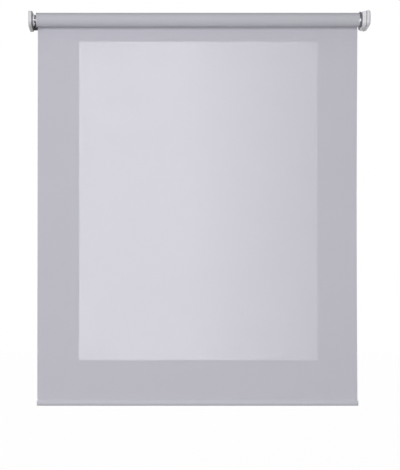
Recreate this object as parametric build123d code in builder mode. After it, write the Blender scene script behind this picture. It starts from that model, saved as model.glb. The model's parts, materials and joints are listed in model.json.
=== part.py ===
from build123d import *
import os
from math import acos, cos, pi, radians, sin, sqrt, tan

# A motorized roller blind, fully lowered, in millimetres.
# +X runs along the roller towards the motor's head, the front faces -Y and +Z is up.
# The origin lies on the wall plane, half way between the brackets and level with the roller's axis.

os.makedirs("parts", exist_ok=True)

# Fits
running_fit = 0.08  # radial, for what turns or slides in a bore
set_fit = 0.05  # around a piece that is set into another and stays there
body_gap = 0.3  # between faces of pieces that move apart
seat_gap = 0.1  # between faces of pieces that are fixed together
least_corner = 1.0  # no outline has a tighter corner

# Fabric
fabric_width = 904.0
fabric_thickness = 0.4
fabric_margins = (0.5, 1.0)  # from its edges to the tube's ends, at the idle end and at the motor
drop = 1087.2  # from the roller's axis to the lowest edge of the hem
roll_radius = 20.0

# Roller tube
axis_to_wall = 34.0
tube_radius = 19.0
tube_wall = 1.3
groove_width = 5.2
groove_depth = 3.6
groove_mouth = 3.0
groove_wall = 1.0
groove_cover = 1.2  # wall over the groove, at its mouth
spline_corner = 0.9

# Brackets and covers
end_gaps = (10.9, 16.4)  # from the tube's ends to the side plates, at the idle end and at the motor
plate_thickness = 2.0
bracket_depth = 61.0
bracket_top = 20.8
bracket_front_height = 20.5  # how far the front edge reaches below the axis
bracket_wall_height = 28.0  # how far the wall edge reaches below the axis
outline_radii = (2.0, 3.0, 18.0, 1.5)  # top at the wall, top front, bottom front, bottom at the wall
flange_width = 13.2  # wall flange, beyond the side plate
flange_reach = 24.5  # how far it reaches below the axis
flange_corners = (5.0, 3.0)  # at the bottom, at the top
wall_screw_radius = 2.2
wall_screw_heights = (13.0, -6.6)
wall_screw_reach = 8.2  # from the side plate
cover_grow = 1.0  # how far the covers stand over the brackets' outline
cover_wall = 1.8
left_cover_width = 8.9
left_cover_round = 3.0
right_cover_width = 10.6
right_cover_round = 7.5
right_cover_grow = 1.2
right_cover_lift = 2.0  # stands higher than the bracket by this
post_radius = 2.5
post_reach = 1.4  # how far a cover's post enters the plate
post_places = ((-52.0, 8.0), (-12.0, -12.0))

# Idle end
hub_radius = 17.0
hub_thickness = 4.0
hub_recess = (5.5, 11.2, 1.5)  # inner radius, outer radius, depth
rivet_radius = 1.5
rivet_head = (2.6, 1.1)  # radius, height
rivet_spread = 8.4
pin_radius = 3.5
pin_travel = 6.0
pin_collar = (6.2, 2.5)  # radius, thickness
pin_tail = (2.5, 14.6)  # radius, length
pin_chamfer = 0.8
collar_gap = 0.4  # round the pin's collar
plug_length = 40.0
plug_flange = (18.0, 20.8, 1.6, 0.8)  # small radius, large radius, cone's length, rim's length
plug_front_wall = 8.0
spring_wire = 0.55
spring_radius = 5.0
spring_turns = 9
stop_thickness = 2.5

# Crown at the motor end
crown_sleeve = 19.5
crown_flange_radius = 22.8
crown_flange = 5.2
crown_clearance = 0.8  # from the crown's flange to the motor's head
key_height = 7.4
key_depth = 4.3
key_set = 2.3  # how far it is let into the flange
key_turn = 8.0  # degrees below the front
crown_chamfer = 0.5

# Motor casing and what it holds
casing_radius = 12.5
casing_wall = 0.7
casing_length = 314.0
spigot_length = 16.0
cell_radius = 9.15
cell_contact = (3.05, 1.0)  # radius, height
cell_space = 2.0
encoder_space = 12.6  # from the encoder's magnet to the trough
board_margin = 7.0  # from the trough's end to the board
board_size = (56.0, 22.0, 1.6)
board_chip = (12.0, 10.0, 2.2)
board_chip_places = (-16.0, 4.0, 20.0)
can_radius = 11.0
can_length = 40.0
can_wall = 1.0
motor_plate_thickness = 3.0
rotor_radius = 8.0
rotor_length = 28.0
shaft_radius = 1.5
magnet_size = (4.0, 2.5)  # radius, thickness
brake_length = 9.0
drum_radius = 5.0
brake_wire = 0.5
brake_turns = 5
brake_pitch = 1.5

# Planetary gearbox, two equal stages with the ring fixed
module = 0.4
pressure_angle = radians(25)
sun_teeth = 12
planet_teeth = 18
ring_teeth = sun_teeth + 2 * planet_teeth
planets = 3
addendum = 0.9 * module
dedendum = 1.2 * module
backlash = 0.08
flank_steps = 4
gear_width = 7.7
carrier_thickness = 3.5
carrier_pin_radius = 1.2
output_radius = 4.0
output_flat = 3.0  # from the axis to the shaft's flat
bush_radius = 6.0
cap_thickness = 7.0
cap_recess = 1.0  # from the casing's free end to the cap

# Drive wheel
wheel_width = 17.0
wheel_gap = 1.0  # from the casing's free end to the wheel
wheel_rim = 1.3  # under the tube's groove
wheel_hub = 8.0
wheel_web = 5.0
screw_head = (6.0, 2.4)  # radius, height
screw_radius = 1.45
screw_length = 10.0
screw_slot = (7.0, 1.2, 1.1)  # length, width, depth

# Motor head
head_inset = 0.1  # the head's outline lies inside the bracket's
head_back = 4.6  # room behind the head for the wall screws' heads
head_wall = 2.2
head_edge = 1.2
boss_radius = 12.0
stub_size = 9.0
stub_length = 7.0
clip_thickness = 1.2
clip_size = (20.0, 17.0)
clip_corner = 3.0
stub_neck = 6.0
panel_thickness = 1.2
panel_size = (30.0, 4.0)
panel_centre = (-26.0, -16.5)
panel_setback = 2.2
switch_size = (3.4, 4.0)
socket_size = (3.2, 9.0, 6.3)
socket_wall = 0.4
socket_corner = 1.0  # inside
socket_tongue = (0.8, 6.3)
socket_y = -24.0
button_radius = 2.4
button_flange = (3.0, 0.8)
button_edge = 0.5
button_travel = 0.8
button_y = -36.0
button_proud = 0.9
light_radius = 1.4
light_length = 5.6
light_y = -14.0
control_line = 5.6  # from the head's inner face to the line of its controls

# Hem
hem_oval = 14.6  # height of the pocket round the bar
hem_depth = 11.0
hem_seam = 3.6  # the pocket narrows upwards by this much above the oval
hem_bar_wall = 1.2
hem_cap_inset = 0.2  # the caps' outline lies inside the pocket's
hem_cap_wall = 2.0
hem_cap_round = 0.9
hem_tongue = 12.0

# Derived places along the roller
tube_length = fabric_width + sum(fabric_margins)
plate_in = (tube_length + sum(end_gaps)) / 2
plate_out = plate_in + plate_thickness
tube_left = -plate_in + end_gaps[0]
tube_right = plate_in - end_gaps[1]
fabric_left = tube_left + fabric_margins[0]
fabric_right = tube_right - fabric_margins[1]
axis_y = -axis_to_wall
tube_bore = tube_radius - tube_wall
inner_radius = tube_bore - seat_gap  # of what is set into the tube
casing_bore = casing_radius - casing_wall
in_casing = casing_bore - seat_gap


def side(x):
    """Plane across the roller at x, with the origin on the wall: its x is +Y and its y is +Z."""
    return Plane(origin=(x, 0, 0), x_dir=(0, 1, 0), z_dir=(1, 0, 0))


def axial(x):
    """The same plane with its origin on the roller's axis."""
    return Plane(origin=(x, axis_y, 0), x_dir=(0, 1, 0), z_dir=(1, 0, 0))


def bottom_at(y, grow=0.0):
    """Height of the bracket outline's sloping lower edge at y, when the outline grows by that much."""
    slope = (bracket_wall_height - bracket_front_height) / bracket_depth
    return -(bracket_wall_height + grow) - slope * y


def outline(x, grow=0.0, back=0.0, lift=0.0):
    """The bracket's side outline at x, larger by grow all round, higher by lift, and back from the wall."""
    top = bracket_top + grow + lift
    front = -(bracket_depth + grow)
    with BuildSketch(side(x)) as sketch:
        with BuildLine():
            FilletPolyline(
                (-back, top),
                (front, top),
                (front, bottom_at(front, grow) + lift),
                (-back, bottom_at(-back, grow) + lift),
                radius=[max(r + grow, least_corner) for r in outline_radii],
                close=True,
            )
        make_face()
    return sketch.sketch


def groove_notch(x):
    """Rectangle that clears the tube's groove, in a piece set into the tube."""
    reach = groove_cover + groove_depth + groove_wall + seat_gap
    with BuildSketch(axial(x)) as sketch:
        with Locations((-tube_radius + reach / 2, 0)):
            Rectangle(reach, groove_width + 2 * groove_wall + 2 * seat_gap)
    return sketch.sketch


# Steel brackets: a side plate and a flange against the wall, with two screw holes
def bracket(sign):
    """sign is -1 for the idle end's bracket and 1 for the motor end's."""
    inner = plate_in if sign > 0 else -plate_in
    plate_start = plate_in if sign > 0 else -plate_out
    flange_top = bracket_top - outline_radii[0]
    with BuildPart() as made:
        extrude(outline(plate_start), amount=plate_thickness)
        with BuildSketch(Plane.XZ) as flange:
            with BuildLine():
                far = inner - sign * flange_width
                FilletPolyline(
                    (inner, flange_top),
                    (inner, -flange_reach),
                    (far, -flange_reach),
                    (far, flange_top),
                    radius=[0, 0, *flange_corners],
                    close=True,
                )
            make_face()
        extrude(flange.sketch, amount=plate_thickness)
        screw_x = inner - sign * wall_screw_reach
        with BuildSketch(Plane.XZ) as screws:
            with Locations([(screw_x, z) for z in wall_screw_heights]):
                Circle(wall_screw_radius)
        extrude(screws.sketch, amount=plate_thickness, mode=Mode.SUBTRACT)
        with BuildSketch(side(plate_start)) as posts:
            with Locations(post_places):
                Circle(post_radius + running_fit)
        extrude(posts.sketch, amount=plate_thickness, mode=Mode.SUBTRACT)
        if sign < 0:
            with BuildSketch(axial(plate_start)) as rivets:
                with Locations((0, rivet_spread), (0, -rivet_spread)):
                    Circle(rivet_radius + set_fit)
            extrude(rivets.sketch, amount=plate_thickness, mode=Mode.SUBTRACT)
        else:
            with BuildSketch(axial(plate_start)) as stub_hole:
                Rectangle(stub_size + 2 * seat_gap, stub_size + 2 * seat_gap)
            extrude(stub_hole.sketch, amount=plate_thickness, mode=Mode.SUBTRACT)
    return made.part


with BuildPart() as left_bracket:
    add(bracket(-1))
left_bracket.part.label = "left_bracket"
export_step(left_bracket.part, "parts/left_bracket.step")

with BuildPart() as right_bracket:
    add(bracket(1))
right_bracket.part.label = "right_bracket"
export_step(right_bracket.part, "parts/right_bracket.step")


# Snap-on covers: hollow caps with two posts that press into the side plates
def cover(sign, width, edge, grow, lift):
    """A cover that is width wide, with its outer edge rounded by edge."""
    rim = sign * (plate_out + body_gap)
    face = sign * (plate_out + body_gap + width)
    start = min(rim, face)
    cavity = min(rim, face - sign * cover_wall)
    with BuildPart() as made:
        extrude(outline(start, grow, lift=lift), amount=width)
        outer = made.faces().sort_by(Axis.X)[-1 if sign > 0 else 0]
        fillet(outer.edges(), radius=edge)
        round_inset = edge / 3  # keeps the wall behind the rounded edge
        inner = outline(cavity, grow - cover_wall - round_inset, cover_wall, lift)
        extrude(inner, amount=width - cover_wall, mode=Mode.SUBTRACT)
        reach = width - cover_wall / 2 + body_gap + post_reach
        tip = sign * (plate_out - post_reach)
        with BuildSketch(side(min(tip, tip + sign * reach))) as posts:
            with Locations(post_places):
                Circle(post_radius)
        extrude(posts.sketch, amount=reach)
    return made.part


with BuildPart() as left_cover:
    add(cover(-1, left_cover_width, left_cover_round, cover_grow, 0))
left_cover.part.label = "left_cover"
export_step(left_cover.part, "parts/left_cover.step")

with BuildPart() as right_cover:
    add(cover(1, right_cover_width, right_cover_round, right_cover_grow, right_cover_lift))
right_cover.part.label = "right_cover"
export_step(right_cover.part, "parts/right_cover.step")

# Nylon hub disc on the left bracket, where the idle pin turns
hub_face = -plate_in + hub_thickness
with BuildPart() as hub_disc:
    with BuildSketch(axial(-plate_in)):
        Circle(hub_radius)
        Circle(pin_radius + running_fit, mode=Mode.SUBTRACT)
        with Locations((0, rivet_spread), (0, -rivet_spread)):
            Circle(rivet_radius + set_fit, mode=Mode.SUBTRACT)
    extrude(amount=hub_thickness)
    with BuildSketch(axial(hub_face - hub_recess[2])):
        Circle(hub_recess[1])
        Circle(hub_recess[0], mode=Mode.SUBTRACT)
    extrude(amount=hub_recess[2], mode=Mode.SUBTRACT)
hub_disc.part.label = "hub_disc"
export_step(hub_disc.part, "parts/hub_disc.step")

# The two rivets that hold the hub disc on its plate
with BuildPart() as hub_rivets:
    head_start = hub_face - hub_recess[2] + seat_gap
    tail_start = -plate_out - seat_gap
    with BuildSketch(axial(tail_start)):
        with Locations((0, rivet_spread), (0, -rivet_spread)):
            Circle(rivet_radius)
    extrude(amount=head_start - tail_start)
    with BuildSketch(axial(head_start), axial(tail_start - rivet_head[1])):
        with Locations((0, rivet_spread), (0, -rivet_spread)):
            Circle(rivet_head[0])
    extrude(amount=rivet_head[1])
hub_rivets.part.label = "hub_rivets"
export_step(hub_rivets.part, "parts/hub_rivets.step")

# Idle plug in the tube's left end, with a bore for the pin and a chamber for its spring
plug_rim_start = tube_left - seat_gap - plug_flange[3]
plug_nose = plug_rim_start - plug_flange[2]
plug_end = tube_left + plug_length
chamber_start = plug_nose + plug_front_wall
chamber_radius = pin_collar[0] + collar_gap
with BuildPart() as idle_plug:
    with BuildSketch(axial(tube_left - seat_gap)):
        Circle(inner_radius)
    extrude(amount=plug_length + seat_gap)
    extrude(groove_notch(tube_left - seat_gap), amount=plug_length + seat_gap, mode=Mode.SUBTRACT)
    with BuildSketch(Plane(origin=(0, axis_y, 0), x_dir=(1, 0, 0), z_dir=(0, -1, 0))):
        with BuildLine():
            Polyline(
                (plug_nose, 0),
                (plug_nose, plug_flange[0]),
                (plug_rim_start, plug_flange[1]),
                (tube_left - seat_gap, plug_flange[1]),
                (tube_left - seat_gap, 0),
                close=True,
            )
        make_face()
    revolve(axis=Axis((0, axis_y, 0), (1, 0, 0)))
    with BuildSketch(axial(plug_nose)):
        Circle(pin_radius + running_fit)
    extrude(amount=plug_front_wall, mode=Mode.SUBTRACT)
    with BuildSketch(axial(chamber_start)):
        Circle(chamber_radius)
    extrude(amount=plug_end - chamber_start, mode=Mode.SUBTRACT)
idle_plug.part.label = "idle_plug"
export_step(idle_plug.part, "parts/idle_plug.step")

# Sprung idle pin: nose in the hub disc, collar behind the plug's front wall, tail inside the spring
collar_start = chamber_start + body_gap
pin_tip = -plate_in + body_gap
tail_end = collar_start + pin_collar[1] + pin_tail[1]
with BuildPart() as idle_pin:
    with BuildSketch(axial(pin_tip)):
        Circle(pin_radius)
    extrude(amount=collar_start - pin_tip)
    with BuildSketch(axial(collar_start)):
        Circle(pin_collar[0])
    extrude(amount=pin_collar[1])
    with BuildSketch(axial(collar_start + pin_collar[1])):
        Circle(pin_tail[0])
    extrude(amount=pin_tail[1])
    chamfer(idle_pin.faces().sort_by(Axis.X)[0].edges(), length=pin_chamfer)
idle_pin.part.label = "idle_pin"
export_step(idle_pin.part, "parts/idle_pin.step")

# Disc that closes the plug's chamber and holds the spring's far end
stop_start = plug_end - stop_thickness
with BuildPart() as spring_stop:
    with BuildSketch(axial(stop_start)):
        Circle(chamber_radius - set_fit)
    extrude(amount=stop_thickness)
spring_stop.part.label = "spring_stop"
export_step(spring_stop.part, "parts/spring_stop.step")

# Spring between the pin's collar and the disc
spring_start = collar_start + pin_collar[1] + body_gap + spring_wire
spring_length = stop_start - seat_gap - spring_wire - spring_start
with BuildPart() as idle_spring:
    with BuildLine() as coil:
        Helix(
            pitch=spring_length / spring_turns,
            height=spring_length,
            radius=spring_radius,
            center=(spring_start, axis_y, 0),
            direction=(1, 0, 0),
        )
    with BuildSketch(Plane(origin=coil.line @ 0, z_dir=coil.line % 0)):
        Circle(spring_wire)
    sweep(path=coil.line, is_frenet=True)
idle_spring.part.label = "idle_spring"
export_step(idle_spring.part, "parts/idle_spring.step")

# Aluminium tube with a groove that holds the fabric's edge and keys the pieces inside it
groove_floor = tube_radius - groove_cover - groove_depth
with BuildPart() as tube:
    with BuildSketch(axial(tube_left)):
        Circle(tube_radius)
        Circle(tube_bore, mode=Mode.SUBTRACT)
        body_depth = tube_bore + tube_wall / 2 - (groove_floor - groove_wall)
        with Locations((-(groove_floor - groove_wall + body_depth / 2), 0)):
            Rectangle(body_depth, groove_width + 2 * groove_wall)
        with Locations((-(groove_floor + groove_depth / 2), 0)):
            Rectangle(groove_depth, groove_width, mode=Mode.SUBTRACT)
        with Locations((-tube_radius, 0)):
            Rectangle(2 * groove_cover + groove_depth, groove_mouth, mode=Mode.SUBTRACT)
    extrude(amount=tube_length)
tube.part.label = "tube"
export_step(tube.part, "parts/tube.step")

# Plastic strip that locks the fabric's edge in the groove
with BuildPart() as fabric_spline:
    with BuildSketch(axial(fabric_left)):
        with Locations((-(groove_floor + groove_depth / 2), 0)):
            RectangleRounded(
                groove_depth - 2 * seat_gap,
                groove_width - 2 * seat_gap,
                radius=spline_corner,
            )
    extrude(amount=fabric_width)
fabric_spline.part.label = "fabric_spline"
export_step(fabric_spline.part, "parts/fabric_spline.step")

# Fabric wound on the tube: the outer layer runs in by one thickness over its turn
roll_bore = tube_radius + set_fit
with BuildPart() as fabric_roll:
    with BuildSketch(axial(fabric_left)):
        with BuildLine():
            under = roll_radius - fabric_thickness
            middle = roll_radius - fabric_thickness / 2
            RadiusArc((roll_radius, 0), (-middle, 0), -(roll_radius + middle) / 2)
            RadiusArc((-middle, 0), (under, 0), -(middle + under) / 2)
            Line((under, 0), (roll_radius, 0))
        make_face()
        Circle(roll_bore, mode=Mode.SUBTRACT)
    extrude(amount=fabric_width)
fabric_roll.part.label = "fabric_roll"
export_step(fabric_roll.part, "parts/fabric_roll.step")


def key_place(radius):
    """The crown key's direction from the axis, at that radius, as (y, z) from the axis."""
    return (-radius * cos(radians(key_turn)), -radius * sin(radians(key_turn)))


# Crown ring: turns with the tube on the motor's casing
crown_flange_start = tube_right + seat_gap
crown_end = crown_flange_start + crown_flange
head_in = crown_end + crown_clearance
casing_end = head_in - seat_gap
casing_start = casing_end - casing_length
with BuildPart() as crown_ring:
    with BuildSketch(axial(crown_flange_start - crown_sleeve)):
        Circle(inner_radius)
    extrude(amount=crown_sleeve)
    extrude(
        groove_notch(crown_flange_start - crown_sleeve),
        amount=crown_sleeve,
        mode=Mode.SUBTRACT,
    )
    with BuildSketch(axial(crown_flange_start)):
        Circle(crown_flange_radius)
    extrude(amount=crown_flange)
    rim_edges = crown_ring.faces().sort_by(Axis.X)[-1].edges()
    chamfer(rim_edges, length=crown_chamfer)
    with BuildSketch(axial(crown_flange_start)):
        with Locations(key_place(crown_flange_radius)):
            Rectangle(2 * key_depth, key_height + 2 * set_fit, rotation=key_turn)
    extrude(amount=key_set, mode=Mode.SUBTRACT)
    with BuildSketch(axial(crown_flange_start - crown_sleeve)):
        Circle(casing_radius + running_fit)
    extrude(amount=crown_sleeve + crown_flange, mode=Mode.SUBTRACT)
crown_ring.part.label = "crown_ring"
export_step(crown_ring.part, "parts/crown_ring.step")

# Light key let into the crown's rim, which reaches over the tube's bare end to the fabric's edge
with BuildPart() as crown_key:
    key_start = fabric_right + body_gap
    key_end = crown_flange_start + key_set - seat_gap / 2
    with BuildSketch(axial(key_start)):
        Circle(crown_flange_radius)
        with Locations(key_place(crown_flange_radius + set_fit)):
            Rectangle(2 * key_depth, key_height, rotation=key_turn, mode=Mode.INTERSECT)
    extrude(amount=key_end - key_start)
    with BuildSketch(axial(key_start)):
        Circle(tube_radius + seat_gap)
    extrude(amount=crown_flange_start - key_start, mode=Mode.SUBTRACT)
crown_key.part.label = "crown_key"
export_step(crown_key.part, "parts/crown_key.step")

# Motor head: a thin case open towards the bracket, with a spigot for the casing and a square stub
with BuildPart() as motor_head:
    head_width = plate_in - seat_gap - head_in
    extrude(outline(head_in, -head_inset, head_back), amount=head_width)
    fillet(motor_head.faces().sort_by(Axis.X)[0].edges(), radius=head_edge)
    extrude(
        outline(head_in + head_wall, -head_inset - head_wall, head_back + head_wall),
        amount=head_width - head_wall,
        mode=Mode.SUBTRACT,
    )
    with BuildSketch(axial(head_in + head_wall / 2)):
        Circle(boss_radius)
    extrude(amount=head_width - head_wall / 2)
    with BuildSketch(axial(head_in - spigot_length)):
        Circle(in_casing)
    extrude(amount=spigot_length + head_wall / 2)
    with BuildSketch(axial(plate_in - seat_gap)):
        Rectangle(stub_size, stub_size)
    extrude(amount=stub_length)
    neck_start = plate_out + seat_gap / 2
    with BuildSketch(axial(neck_start)):
        with Locations((stub_size / 2, 0), (-stub_size / 2, 0)):
            Rectangle(stub_size - stub_neck, stub_size)
    extrude(amount=clip_thickness + seat_gap, mode=Mode.SUBTRACT)
    control_x = head_in + control_line
    wall_under = bottom_at(0) - head_wall
    with BuildSketch(Plane.XY.offset(wall_under)):
        with Locations((control_x, button_y)):
            Circle(button_radius + running_fit)
        with Locations((control_x, light_y)):
            Circle(light_radius + set_fit)
        with Locations((control_x, socket_y)):
            RectangleRounded(
                socket_size[0] + 2 * set_fit,
                socket_size[1] + 2 * set_fit,
                radius=socket_size[0] / 2,
            )
    extrude(amount=-wall_under - boss_radius - head_wall, mode=Mode.SUBTRACT)
motor_head.part.label = "motor_head"
export_step(motor_head.part, "parts/motor_head.step")

# Spring clip that straddles the stub's neck behind the bracket's plate
with BuildPart() as head_clip:
    with BuildSketch(axial(plate_out + seat_gap)):
        RectangleRounded(clip_size[0], clip_size[1], radius=clip_corner)
        with Locations((0, -clip_size[1] / 2)):
            Rectangle(
                stub_neck + 2 * set_fit,
                clip_size[1] + stub_size + 2 * set_fit,
                mode=Mode.SUBTRACT,
            )
    extrude(amount=clip_thickness - seat_gap)
head_clip.part.label = "head_clip"
export_step(head_clip.part, "parts/head_clip.step")

# Small circuit board in the head, with the switch over the setting button
button_tip = bottom_at(button_y, -head_inset) - button_proud
button_top = bottom_at(button_y, -head_inset - head_wall) + 2 * body_gap
panel_x = plate_in - seat_gap - panel_setback - panel_thickness
with BuildPart() as interface_board:
    with BuildSketch(side(panel_x)):
        with Locations(panel_centre):
            Rectangle(*panel_size)
    extrude(amount=panel_thickness)
    switch_bottom = button_top + button_flange[1] + button_travel + seat_gap
    with BuildSketch(Plane.XY.offset(switch_bottom)):
        with Locations((panel_x - switch_size[0] / 2, button_y)):
            Rectangle(switch_size[0], switch_size[1])
    extrude(amount=panel_centre[1] + panel_size[1] / 2 - switch_bottom)
interface_board.part.label = "interface_board"
export_step(interface_board.part, "parts/interface_board.step")

# Charging socket: a metal shell that opens downwards in the head's underside
with BuildPart() as charging_socket:
    socket_bottom = bottom_at(socket_y, -head_inset)
    socket_outline = (socket_size[0], socket_size[1], socket_size[0] / 2 - set_fit)
    with BuildSketch(Plane.XY.offset(socket_bottom)):
        with Locations((control_x, socket_y)):
            RectangleRounded(*socket_outline)
    extrude(amount=socket_size[2])
    with BuildSketch(Plane.XY.offset(socket_bottom)):
        with Locations((control_x, socket_y)):
            RectangleRounded(
                *(size - 2 * socket_wall for size in socket_outline[:2]), radius=socket_corner
            )
            Rectangle(*socket_tongue, mode=Mode.SUBTRACT)
    extrude(amount=socket_size[2] - socket_wall * 2, mode=Mode.SUBTRACT)
charging_socket.part.label = "charging_socket"
export_step(charging_socket.part, "parts/charging_socket.step")

# Setting button: a sprung plunger under the head, kept in by its flange
with BuildPart() as setting_button:
    with BuildSketch(Plane.XY.offset(button_tip)):
        with Locations((control_x, button_y)):
            Circle(button_radius)
    extrude(amount=button_top - button_tip)
    with BuildSketch(Plane.XY.offset(button_top)):
        with Locations((control_x, button_y)):
            Circle(button_flange[0])
    extrude(amount=button_flange[1])
    fillet(setting_button.faces().sort_by(Axis.Z)[0].edges(), radius=button_edge)
setting_button.part.label = "setting_button"
export_step(setting_button.part, "parts/setting_button.step")

# Light pipe of the head's status light
with BuildPart() as status_light:
    light_bottom = bottom_at(light_y, -head_inset) - seat_gap
    with BuildSketch(Plane.XY.offset(light_bottom)):
        with Locations((control_x, light_y)):
            Circle(light_radius)
    extrude(amount=light_length)
status_light.part.label = "status_light"
export_step(status_light.part, "parts/status_light.step")

# Steel casing of the tubular motor
with BuildPart() as motor_casing:
    with BuildSketch(axial(casing_start)):
        Circle(casing_radius)
        Circle(casing_bore, mode=Mode.SUBTRACT)
    extrude(amount=casing_length)
motor_casing.part.label = "motor_casing"
export_step(motor_casing.part, "parts/motor_casing.step")

# Places in the casing, from its free end towards the head
cap_start = casing_start + cap_recess
cap_end = cap_start + cap_thickness
ring_start = cap_end
output_disc = ring_start + body_gap
second_gears = output_disc + carrier_thickness + body_gap
first_disc = second_gears + gear_width + body_gap
first_gears = first_disc + carrier_thickness + body_gap
ring_end = first_gears + gear_width + body_gap
brake_start = ring_end
brake_end = brake_start + brake_length
motor_start = brake_end + motor_plate_thickness
can_end = motor_start + can_length
tray_start = can_end + magnet_size[1] + encoder_space
tray_end = head_in - spigot_length - seat_gap
tray_length = tray_end - tray_start
cell_length = (tray_length - board_margin - board_size[0] - 3 * cell_space) / 2

# Trough that carries the cells and the control board
with BuildPart() as inner_tray:
    with BuildSketch(axial(tray_start)):
        Circle(in_casing)
        Circle(cell_radius + seat_gap, mode=Mode.SUBTRACT)
        with Locations((0, casing_radius / 2)):
            Rectangle(2 * casing_radius, casing_radius, mode=Mode.SUBTRACT)
    extrude(amount=tray_length)
inner_tray.part.label = "inner_tray"
export_step(inner_tray.part, "parts/inner_tray.step")

# Two lithium cells, end to end
cells_end = tray_end - cell_space
cell_starts = [cells_end - n * cell_space - (n + 1) * cell_length for n in range(2)]
with BuildPart() as battery_cells:
    for start in cell_starts:
        with BuildSketch(axial(start)):
            Circle(cell_radius)
        extrude(amount=cell_length)
        with BuildSketch(axial(start + cell_length)):
            Circle(cell_contact[0])
        extrude(amount=cell_contact[1])
battery_cells.part.label = "battery_cells"
export_step(battery_cells.part, "parts/battery_cells.step")

# Control board on the trough's rims, with its larger chips
with BuildPart() as control_board:
    board_centre = cell_starts[-1] - cell_space - board_size[0] / 2
    with BuildSketch(Plane.XY.offset(seat_gap)):
        with Locations((board_centre, axis_y)):
            Rectangle(board_size[0], board_size[1])
    extrude(amount=board_size[2])
    with BuildSketch(Plane.XY.offset(seat_gap + board_size[2])):
        with Locations([(board_centre + place, axis_y) for place in board_chip_places]):
            Rectangle(board_chip[0], board_chip[1])
    extrude(amount=board_chip[2])
control_board.part.label = "control_board"
export_step(control_board.part, "parts/control_board.step")

# Planets' places
planet_circle = module * (sun_teeth + planet_teeth) / 2
carrier_radius = module * ring_teeth / 2 - addendum - body_gap
planet_angles = [2 * pi * n / planets for n in range(planets)]
planet_centres = [(planet_circle * cos(a), planet_circle * sin(a)) for a in planet_angles]


def involute(angle):
    """The involute function of a pressure angle."""
    return tan(angle) - angle


def gear_points(teeth, tip, root, slack, turn):
    """Outline of a gear with involute flanks.

    A tooth is centred on the angle turn, and each tooth is thinner by slack at the pitch circle."""
    pitch_radius = module * teeth / 2
    base_radius = pitch_radius * cos(pressure_angle)
    at_pitch = pi / 2 / teeth - slack / 2 / pitch_radius + involute(pressure_angle)
    radii = [root + (tip - root) * n / flank_steps for n in range(flank_steps + 1)]
    flank = [(r, at_pitch - involute(acos(min(1, base_radius / r)))) for r in radii]
    points = []
    for tooth in range(teeth):
        centre = turn + 2 * pi * tooth / teeth
        points += [(r, centre - half) for r, half in flank]
        points += [(r, centre + half) for r, half in reversed(flank)]
    return [(r * cos(a), r * sin(a)) for r, a in points]


def outer_gear(x, teeth, centre, turn):
    """Sketch at x of a gear with outside teeth."""
    pitch_radius = module * teeth / 2
    points = gear_points(teeth, pitch_radius + addendum, pitch_radius - dedendum, backlash, turn)
    with BuildSketch(axial(x)) as sketch:
        with BuildLine():
            Polyline(*[(centre[0] + u, centre[1] + v) for u, v in points], close=True)
        make_face()
    return sketch.sketch


def planet(x, number):
    """A planet gear at x, with a gap between its teeth towards the sun and another towards the ring."""
    centre = planet_centres[number]
    turn = planet_angles[number] + pi / planet_teeth
    with BuildPart() as made:
        extrude(outer_gear(x, planet_teeth, centre, turn), amount=gear_width)
        with BuildSketch(axial(x)) as bore:
            with Locations(centre):
                Circle(carrier_pin_radius + running_fit)
        extrude(bore.sketch, amount=gear_width, mode=Mode.SUBTRACT)
    return made.part


# Fixed ring gear, inside teeth along both stages
with BuildPart() as gearbox_ring:
    ring_pitch = module * ring_teeth / 2
    space = gear_points(
        ring_teeth, ring_pitch + dedendum, ring_pitch - addendum, -backlash, pi / ring_teeth
    )
    with BuildSketch(axial(ring_start)):
        Circle(in_casing)
        with BuildLine():
            Polyline(*space, close=True)
        make_face(mode=Mode.SUBTRACT)
    extrude(amount=ring_end - ring_start)
gearbox_ring.part.label = "gearbox_ring"
export_step(gearbox_ring.part, "parts/gearbox_ring.step")

# Planet gears of the first stage, next to the motor
for number in range(planets):
    with BuildPart() as first_planet:
        add(planet(first_gears, number))
    first_planet.part.label = f"first_planet_{number + 1}"
    export_step(first_planet.part, f"parts/first_planet_{number + 1}.step")

# Planet gears of the second stage, next to the drive wheel
for number in range(planets):
    with BuildPart() as second_planet:
        add(planet(second_gears, number))
    second_planet.part.label = f"second_planet_{number + 1}"
    export_step(second_planet.part, f"parts/second_planet_{number + 1}.step")

# First carrier: carries the first planets and is one piece with the second sun
with BuildPart() as first_carrier:
    with BuildSketch(axial(first_disc)):
        Circle(carrier_radius)
    extrude(amount=carrier_thickness)
    with BuildSketch(axial(first_disc + carrier_thickness)):
        with Locations(planet_centres):
            Circle(carrier_pin_radius)
    extrude(amount=gear_width)
    extrude(outer_gear(second_gears, sun_teeth, (0, 0), 0), amount=first_disc - second_gears)
first_carrier.part.label = "first_carrier"
export_step(first_carrier.part, "parts/first_carrier.step")

# Drive wheel's place on the output shaft
wheel_end = casing_start - wheel_gap
wheel_start = wheel_end - wheel_width
shaft_end = wheel_start + seat_gap

# Output carrier: carries the second planets and ends in the flatted output shaft
with BuildPart() as output_carrier:
    with BuildSketch(axial(output_disc)):
        Circle(carrier_radius)
    extrude(amount=carrier_thickness)
    with BuildSketch(axial(output_disc + carrier_thickness)):
        with Locations(planet_centres):
            Circle(carrier_pin_radius)
    extrude(amount=gear_width)
    with BuildSketch(axial(shaft_end)):
        Circle(output_radius)
    extrude(amount=output_disc - shaft_end)
    with BuildSketch(axial(shaft_end)):
        with Locations((0, output_flat + output_radius)):
            Rectangle(2 * output_radius, 2 * output_radius)
    extrude(amount=wheel_end - shaft_end, mode=Mode.SUBTRACT)
    with BuildSketch(axial(shaft_end)):
        Circle(screw_radius + set_fit)
    extrude(amount=screw_length + seat_gap, mode=Mode.SUBTRACT)
output_carrier.part.label = "output_carrier"
export_step(output_carrier.part, "parts/output_carrier.step")

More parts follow.
